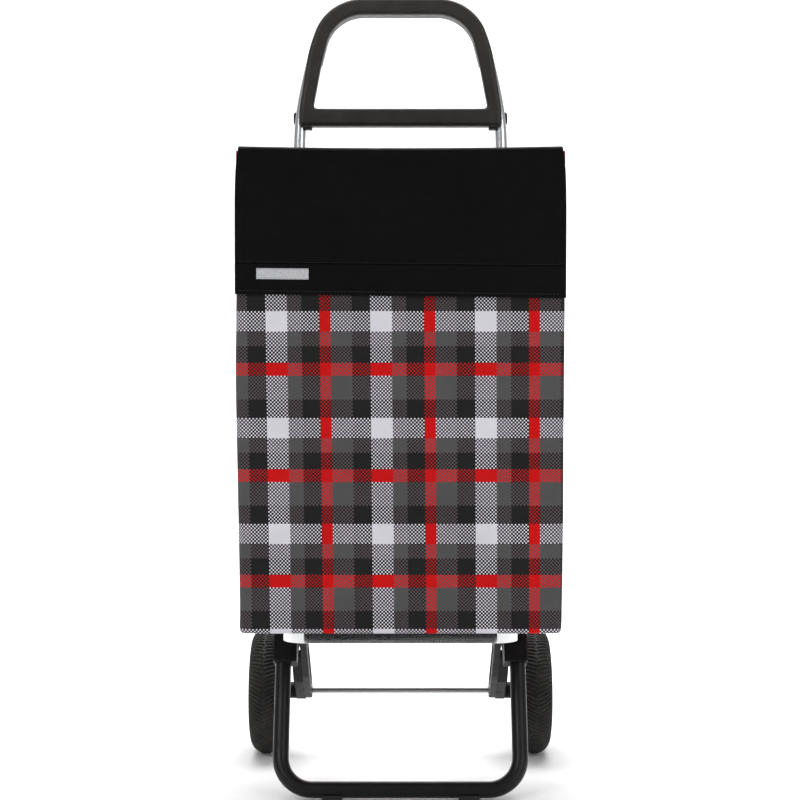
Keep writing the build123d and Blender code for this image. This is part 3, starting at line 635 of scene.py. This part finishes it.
z_out = np.concatenate([Z0 + HEM_R * (1 - np.cos(np.linspace(0, np.pi / 2, 7))), np.linspace(Z0 + 0.008, Z1, 130)])
z_in = np.linspace(Z0 + 0.0028, Z1, 90)
outer = bag_layer(z_out, 0.0, True)
inner = bag_layer(z_in, 0.0026, False)
rim = []
for k, (dz, ins) in enumerate([(0.0006, 0.0006), (0.0008, 0.0013), (0.0006, 0.0020)]):
    p, n = bag_ring(Z1, ins)
    d = bag_bulge(p, n, Z1)
    q = p + n * d[:, None]
    rim.append(np.column_stack([q, np.full(len(q), Z1 + dz - 0.0006)]))
verts, uvs, faces, fmat = [], [], [], []
stack = list(outer) + rim + list(inner[::-1])
n_outer = len(outer)
for i, ring in enumerate(stack):
    verts.append(ring)
    v = ring[:, 2]
    uu = np.where(U > PERIM / 2, U - PERIM, U)
    uvs.append(np.column_stack([uu, v]))
verts = np.concatenate(verts)
uv_v = np.concatenate(uvs)
loop_uv = []
for i in range(len(stack) - 1):
    for c in range(N):
        d = (c + 1) % N
        a, b, e, f = i * N + c, i * N + d, (i + 1) * N + d, (i + 1) * N + c
        faces.append((a, b, e, f))
        fmat.append(0 if i < n_outer + 1 else 1)
        ua, ub = uv_v[a][0], uv_v[b][0]
        if ub < ua - 0.2:
            ub += PERIM
        if d == 0:
            ub = 0.0 if ua < 0 else PERIM
            if ua < 0:
                ub = 0.0
        loop_uv += [(ua, uv_v[a][1]), (ub, uv_v[b][1]), (ub, uv_v[e][1]), (ua, uv_v[f][1])]


def cap(base_index, ring, z_off, flip, mat_index, sag):
    """Closes a ring with smaller and smaller rings, sagging a little in the middle."""
    global verts
    centre = np.array([0.0, (ring[:, 1].min() + ring[:, 1].max()) / 2])
    last = base_index
    scales = [0.93, 0.8, 0.6, 0.4, 0.2, 0.06]
    for s in scales:
        q = centre + (ring[:, :2] - centre) * s
        zz = ring[:, 2] + z_off - sag * (1 - s * s)
        new = len(verts)
        verts = np.concatenate([verts, np.column_stack([q, zz])])
        for c in range(N):
            d = (c + 1) % N
            f = (last + c, last + d, new + d, new + c)
            faces.append(f if flip else tuple(reversed(f)))
            fmat.append(mat_index)
            for k in faces[-1]:
                loop_uv.append((verts[k][0], verts[k][1] + Z0))
        last = new
    f = tuple(last + c for c in range(N))
    faces.append(f if flip else tuple(reversed(f)))
    fmat.append(mat_index)
    for k in faces[-1]:
        loop_uv.append((verts[k][0], verts[k][1] + Z0))


cap(0, stack[0], 0.0, False, 0, 0.0)
cap((len(stack) - 1) * N, stack[-1], 0.0, True, 1, 0.0)
bag = add_mesh("bag_cloth", verts, faces, {"loops": loop_uv}, mats=[PLAID, LINING], face_mats=fmat)
fix_normals(bag)
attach(bag, "frame")
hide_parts(*PANELS)

# hem stitches round the mouth, under the lid
hp, hn = bag_ring(Z1 - 0.024, 0.0)
step = 0.0042
pts, nrms, acc = [], [], 0.0
for i in range(N):
    a, b = hp[i], hp[(i + 1) % N]
    L = np.linalg.norm(b - a)
    while acc < L:
        q = a + (b - a) * acc / L
        d = bag_bulge(q[None], hn[i][None], Z1 - 0.024)[0]
        q = q + hn[i] * (d + 0.0001)
        pts.append((q[0], q[1], Z1 - 0.024)); nrms.append((hn[i][0], hn[i][1], 0))
        acc += step
    acc -= L
hem = stitches("mouth_stitches", pts, nrms, THREAD)
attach(hem, "frame")


# seam welts up the two rear corners
def welt(name, line, radius, mat, body, closed=False):
    ob = tube_mesh(name, line, radius, mat, 10, closed)
    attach(ob, body)
    return ob


for sx, tag in ((1, "right"), (-1, "left")):
    line = []
    for z in np.linspace(Z0 + 0.012, Z1 - 0.002, 90):
        t = (z - Z0) / (Z1 - Z0)
        w = (0.388 + 0.0036 * t) / 2
        k = CORNER * (1 - math.cos(math.pi / 4))
        line.append((sx * (w - k + 0.0004), BACK - k + 0.0004, z))
    welt("rear_seam_" + tag, line, 0.0015, FLAP, "frame")

# ---------------------------------------------------------------- lid cloth
LZ = 0.7908          # middle of the top cloth
TH = 0.0022
HW_TOP = 0.1922      # half width at the front fold


def half_width_flap(z):
    return 0.1966 - 0.0046 * np.exp(-(0.789 - z) / 0.022)


# top: rear strip on the bag's back edge, bend, top, up to the front piping
path = []
for z in np.linspace(0.7842, 0.7876, 4):
    path.append((0.0243, z))
for a in np.linspace(0, math.pi / 2, 9)[1:]:
    path.append((0.0243 - 0.0032 + 0.0032 * math.cos(a), 0.7876 + 0.0032 * math.sin(a)))
for y in np.linspace(0.0200, -0.2045, 120):
    path.append((y, LZ))
path = np.array(path)
xs = np.linspace(-1, 1, 141)
grid = np.zeros((len(path), len(xs), 3))
for i, (y, z) in enumerate(path):
    s = min(max((0.0243 - y) / 0.229, 0.0), 1.0)
    hw = 0.1945 + (HW_TOP - 0.1945) * s
    # rounded rear corners
    d = 0.0243 - y
    if d < 0.018:
        hw -= 0.018 - math.sqrt(max(0.018 ** 2 - (0.018 - d) ** 2, 0.0))
    for j, u in enumerate(xs):
        x = hw * u
        sag = -0.0012 * (1 - u * u) * math.sin(math.pi * s) - 0.0022 * (1 - u * u) * float(smooth01(0.955, 0.99, s))
        wob = 0.0006 * noise.fractal(Vector((x * 9.0, y * 9.0, 1.7)), 1.0, 2.0, 3) * min(1.0, d / 0.02)
        edge = -0.0006 * float(smooth01(0.95, 1.0, abs(u)))
        grid[i, j] = (x, y, z + sag + wob + edge)
vlen = np.concatenate([[0], np.cumsum(np.linalg.norm(np.diff(path, axis=0), axis=1))])
uv = np.zeros((len(path), len(xs), 2))
uv[:, :, 0] = grid[:, :, 0]
uv[:, :, 1] = -vlen[:, None]
nrm = grid_normals(grid)
if nrm[60, 70, 2] < 0:
    nrm = -nrm
lid_top = slab("lid_top_cloth", grid + nrm * TH / 2, grid - nrm * TH / 2, uv, [FLAP])
fix_normals(lid_top)
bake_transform(lid_top)
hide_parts("lid_top_panel")

# front flap: short strip on top, fold, slanting face, hem
FS = (FRONT1 - FRONT0) / (Z1 - Z0)


def flap_y(z):
    return FRONT0 + FS * (z - Z0) - 0.0006 - 0.0014


flap_path = []
for y in np.linspace(-0.2025, -0.2092, 8):
    flap_path.append((y, LZ, 0))
top_y = flap_y(0.787)
for a in np.linspace(0, math.pi / 2, 12)[1:]:
    flap_path.append((-0.2092 - (abs(top_y) - 0.2092) * math.sin(a), LZ - 0.0040 * (1 - math.cos(a)), 0))
for z in np.linspace(0.7860, 0.6150, 230):
    flap_path.append((flap_y(z), z, 1))
flap_path = np.array(flap_path)
fp = flap_path[:, :2]
flen = np.concatenate([[0], np.cumsum(np.linalg.norm(np.diff(fp, axis=0), axis=1))])
xs = np.linspace(-1, 1, 161)
grid = np.zeros((len(fp), len(xs), 3))
step_out = np.zeros((len(fp), len(xs)))
for i, (y, z) in enumerate(fp):
    on_front = flap_path[i, 2] > 0.5
    drop = (0.787 - z) / 0.172 if on_front else 0.0
    hw = float(half_width_flap(min(z, 0.789)))
    for j, u in enumerate(xs):
        x = hw * u
        zz = z - 0.0022 * (1 - u * u) * math.exp(-max(0.0, 0.790 - z) / 0.03)
        zz -= drop * 0.0023 * (u + 0.0)
        wob = 0.0008 * noise.fractal(Vector((x * 6.0, z * 6.0, 4.2)), 1.0, 2.0, 3)
        wave = 0.0009 * math.sin(x * 21.0 + 0.6) * max(drop, 0.0) ** 2
        yy = y - (wob + wave + 0.0008 * drop) * (1.0 if on_front else 0.0)
        yy += 0.0030 * float(smooth01(0.955, 1.0, abs(u))) * (1.0 if on_front else 0.0)
        hemmed = 0.0007 * float(1 - smooth01(0.6505, 0.6520, z)) if on_front else 0.0
        crease = 0.0012 * math.exp(-((z - 0.6530) / 0.0012) ** 2) if on_front else 0.0
        grid[i, j] = (x, yy - hemmed + crease, zz)
uv = np.zeros((len(fp), len(xs), 2))
uv[:, :, 0] = grid[:, :, 0]
uv[:, :, 1] = 0.5 - flen[:, None]
nrm = grid_normals(grid)
if nrm[100, 80, 1] > 0:
    nrm = -nrm
FLAP_GRID, FLAP_NRM = grid, nrm
flap = slab("lid_front_cloth", grid + nrm * TH / 2, grid - nrm * TH / 2, uv, [FLAP])
fix_normals(flap)
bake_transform(flap)
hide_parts("lid_front_flap")

# piping over the seam between the two cloths
pipe = []
for u in np.linspace(-1, 1, 80):
    x = 0.1915 * u
    pipe.append((x, -0.2036, LZ + 0.0002 - 0.0022 * (1 - u * u)))
welt("lid_piping", pipe, 0.0019, FLAP, "lid_top")


def flap_point(x, z, lift=TH / 2 + 0.0001):
    i = int(np.argmin(np.abs(FLAP_GRID[:, 80, 2] - z) + (flap_path[:, 2] < 0.5) * 10))
    j = int(np.argmin(np.abs(FLAP_GRID[i, :, 0] - x)))
    j = min(max(j, 1), len(xs) - 2)
    row = FLAP_GRID[i]
    j0 = j if row[j, 0] <= x else j - 1
    f = (x - row[j0, 0]) / max(row[j0 + 1, 0] - row[j0, 0], 1e-9)
    p = row[j0] * (1 - f) + row[j0 + 1] * f
    n = FLAP_NRM[i, j0]
    dz = z - FLAP_GRID[i, 80, 2]
    return p + n * lift + np.array([0, 0, dz]), n


def flap_row(name, z, x0, x1, pitch=0.0040, mat=THREAD):
    pts, nr = [], []
    for x in np.arange(x0, x1, pitch):
        p, n = flap_point(x, z)
        pts.append(p); nr.append(n)
    ob = stitches(name, pts, nr, mat)
    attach(ob, "lid_front")
    return ob


flap_row("hem_stitches_upper", 0.6545, -0.190, 0.190)
flap_row("hem_stitches_lower", 0.6195, -0.190, 0.190)

# plain woven label with a stitched edge
lab_u = np.linspace(-0.031, 0.031, 40)
lab_v = np.linspace(0.0065, -0.0065, 12)
g = np.zeros((len(lab_v), len(lab_u), 3))
gn = np.zeros_like(g)
for i, dv in enumerate(lab_v):
    for j, du in enumerate(lab_u):
        p, n = flap_point(-0.140 + du, 0.640, TH / 2 + 0.0005)
        edge = min(1.0, (0.0065 - abs(dv)) / 0.0012, (0.031 - abs(du)) / 0.0012)
        g[i, j] = p + np.array([0, -FS * 0 - dv * FS * -1.0, dv]) + n * 0.0002 * max(edge, 0.0)
        gn[i, j] = n
luv = np.zeros((len(lab_v), len(lab_u), 2))
luv[:, :, 0] = g[:, :, 0]
luv[:, :, 1] = g[:, :, 2]
label = slab("woven_label", g + gn * 0.0003, g - gn * 0.0003, luv, [LABEL])
fix_normals(label)
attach(label, "lid_front")
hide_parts("flap_label")
LABEL_THREAD = make_plastic("label_thread", rgb(150, 150, 155), rgb(180, 180, 185), (0.5, 0.6), 3000.0, 0.3)
pts, nr = [], []
for du in np.arange(-0.0290, 0.0291, 0.0026):
    p, n = flap_point(-0.140 + du, 0.640, TH / 2 + 0.0010)
    pts.append(p + np.array([0, 0.0052 * FS, 0.0052])); nr.append(n)
a = stitches("label_stitches_upper", pts, nr, LABEL_THREAD, 0.0018, 0.0004, 0.0002)
pts = [p + np.array([0, -0.0104 * FS, -0.0104]) for p in pts]
b = stitches("label_stitches_lower", pts, nr, LABEL_THREAD, 0.0018, 0.0004, 0.0002)
for ob in (a, b):
    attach(ob, "lid_front")


# ---------------------------------------------------------------- straps round the uprights
for tag in ("left", "right"):
    lo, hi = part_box("bag_strap_" + tag)
    cx, cy = (lo.x + hi.x) / 2, (lo.y + hi.y) / 2
    hx, hy, r = 0.0095, 0.0103, 0.0065
    ring = []
    for (sx, sy, a0) in ((1, 1, 0), (-1, 1, 90), (-1, -1, 180), (1, -1, 270)):
        for k in range(7):
            a = math.radians(a0 + 90 * k / 6)
            ring.append((cx + sx * (hx - r) + r * math.cos(a), cy + sy * (hy - r) + r * math.sin(a)))
    ring = np.array(ring)
    rows = []
    rows_in = []
    zs = np.linspace(lo.z + 0.0008, hi.z - 0.0008, 9)
    c0 = np.array([cx, cy])
    for z in zs:
        puff = 0.0003 * math.sin(math.pi * (z - lo.z) / (hi.z - lo.z))
        d = (ring - c0)
        d = d / np.linalg.norm(d, axis=1, keepdims=True)
        rows.append(np.column_stack([ring + d * puff, np.full(len(ring), z)]))
        rows_in.append(np.column_stack([ring - d * 0.0013, np.full(len(ring), z)]))
    rows, rows_in = np.array(rows), np.array(rows_in)
    wuv = np.zeros((len(zs), len(ring), 2))
    wuv[:, :, 1] = zs[:, None]
    strap = slab("strap_loop_" + tag, rows, rows_in, wuv, [WEBBING], close_u=True)
    fix_normals(strap)
    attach(strap, "frame")
    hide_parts("bag_strap_" + tag)


# ---------------------------------------------------------------- tyres with their tread
def tyre(tag):
    lo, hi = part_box("tyre_" + tag)
    cx, cy, cz = (lo.x + hi.x) / 2, (lo.y + hi.y) / 2, (lo.z + hi.z) / 2
    R0, rs, rim_r = 0.064, 0.0208, 0.0541
    blocks = 92
    per = 8
    seg_n = blocks * per
    lim = math.acos((rim_r - R0) / rs)
    phis = np.concatenate([np.linspace(-lim, -1.35, 5, endpoint=False), np.linspace(-1.35, 1.35, 61),
                           np.linspace(1.35, lim, 6)[1:]])
    th = np.arange(seg_n) * 2 * math.pi / seg_n
    T, P = np.meshgrid(th, phis, indexing="ij")
    ph = T * blocks / (2 * math.pi)
    wave = ph + 1.55 * np.abs(P)
    f = np.abs((wave % 1.0) - 0.5) * 2
    groove = smooth01(0.42, 0.72, f)
    fade = 1 - smooth01(1.10, 1.32, np.abs(P))
    centre = smooth01(0.045, 0.09, np.abs(P + 0.035 * np.sign(np.sin(2 * math.pi * ph * 0.5))))
    depth = 0.0017 * groove * fade * centre + 0.0012 * (1 - centre)
    r = rs - depth
    rad = R0 + r * np.cos(P)
    xx = r * np.sin(P)
    X = cx + xx
    Y = cy + rad * np.cos(T)
    Z = cz + rad * np.sin(T)
    g = np.stack([X, Y, Z], axis=2)
    # inner seat, so that the tyre is closed against the rim
    seat = np.zeros((seg_n, 3, 3))
    for k, fx in enumerate((0.6, 0.0, -0.6)):
        s = g[:, -1, 0] - cx
        seat[:, k, 0] = cx + s * fx
        seat[:, k, 1] = cy + rim_r * np.cos(th)
        seat[:, k, 2] = cz + rim_r * np.sin(th)
    full = np.concatenate([g, seat], axis=1)
    rows, cols = full.shape[:2]
    faces = []
    for i in range(rows):
        k = (i + 1) % rows
        for j in range(cols):
            l = (j + 1) % cols
            faces.append((i * cols + j, i * cols + l, k * cols + l, k * cols + j))
    ob = add_mesh("tread_" + tag, full.reshape(-1, 3), faces, mats=[RUBBER])
    fix_normals(ob)
    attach(ob, "wheel_" + tag)
    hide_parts("tyre_" + tag)


tyre("left")
tyre("right")

# ---------------------------------------------------------------- studio
fm = Mat("studio_floor", Roughness=0.9)
fobj = fm.coord("Object")
fm.color(fm.ramp(fm.noise(fobj, 1.5, 2.0), [(0.3, (0.92, 0.92, 0.922, 1)), (0.7, (0.935, 0.935, 0.937, 1))]))
# the backdrop is one-sided, so that it doesn't hide the trolley from behind
geo = fm.node("ShaderNodeNewGeometry")
clear = fm.node("ShaderNodeBsdfTransparent")
sides = fm.node("ShaderNodeMixShader")
fm.link(geo.outputs["Backfacing"], sides.inputs[0])
fm.link(fm.p.outputs[0], sides.inputs[1])
fm.link(clear.outputs[0], sides.inputs[2])
fm.link(sides.outputs[0], fm.out.inputs[0])
prof = [(-4.0, 0.0), (1.6, 0.0)]
for k in range(1, 17):
    a = math.pi / 2 * k / 16
    prof.append((1.6 + 0.9 * math.sin(a), 0.9 - 0.9 * math.cos(a)))
prof.append((2.5, 4.0))
verts, faces = [], []
for (y, z) in prof:
    verts += [(-5.0, y, z), (5.0, y, z)]
for i in range(len(prof) - 1):
    faces.append((2 * i, 2 * i + 1, 2 * i + 3, 2 * i + 2))
floor = add_mesh("studio_floor", verts, faces, mats=[fm.m])
floor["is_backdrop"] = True

world = bpy.data.worlds.new("studio_world")
scene.world = world
world.use_nodes = True
bg = world.node_tree.nodes["Background"]
bg.inputs[0].default_value = (1.0, 1.0, 1.0, 1.0)
bg.inputs[1].default_value = 0.34


def area(name, loc, target, size, power, size_y=None):
    d = bpy.data.lights.new(name, "AREA")
    d.energy = power
    d.size = size
    if size_y:
        d.shape = "RECTANGLE"
        d.size_y = size_y
    o = bpy.data.objects.new(name, d)
    o.location = loc
    o.rotation_euler = (Vector(target) - Vector(loc)).to_track_quat("-Z", "Y").to_euler()
    scene.collection.objects.link(o)
    return o


area("key_light", (-1.6, -2.2, 2.0), (0, 0, 0.5), 1.4, 21.0)
area("fill_light", (1.7, -2.0, 1.3), (0, 0, 0.5), 1.4, 13.0)
area("top_light", (0.0, 0.9, 2.7), (0, 0.8, 0.0), 3.0, 66.0, 1.8)
area("backdrop_light", (0.0, 1.0, 2.9), (0, 2.5, 0.6), 3.0, 40.0, 1.0)
area("back_light", (0.0, 1.4, 1.9), (0, 0, 0.8), 1.6, 10.0)

# a black card in front of the trolley, low down: bright metal shows it, and nothing else does
card_mat = Mat("black_card", Roughness=1.0)
card_mat.p.inputs["Base Color"].default_value = (0.012, 0.012, 0.012, 1.0)
card_mat.p.inputs["Specular IOR Level"].default_value = 0.0
card = add_mesh("black_card", [(-0.5, -3.4, 0.004), (0.5, -3.4, 0.004), (0.5, -1.345, 0.004), (-0.5, -1.345, 0.004)], [(0, 1, 2, 3)], mats=[card_mat.m])
card.visible_camera = False
card.visible_diffuse = False
card.visible_shadow = False
card.visible_transmission = False
card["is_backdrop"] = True

# plain display transform, so that white paper stays white and black cloth stays black
scene.view_settings.view_transform = "Standard"
scene.view_settings.look = "None"

lo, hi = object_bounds()
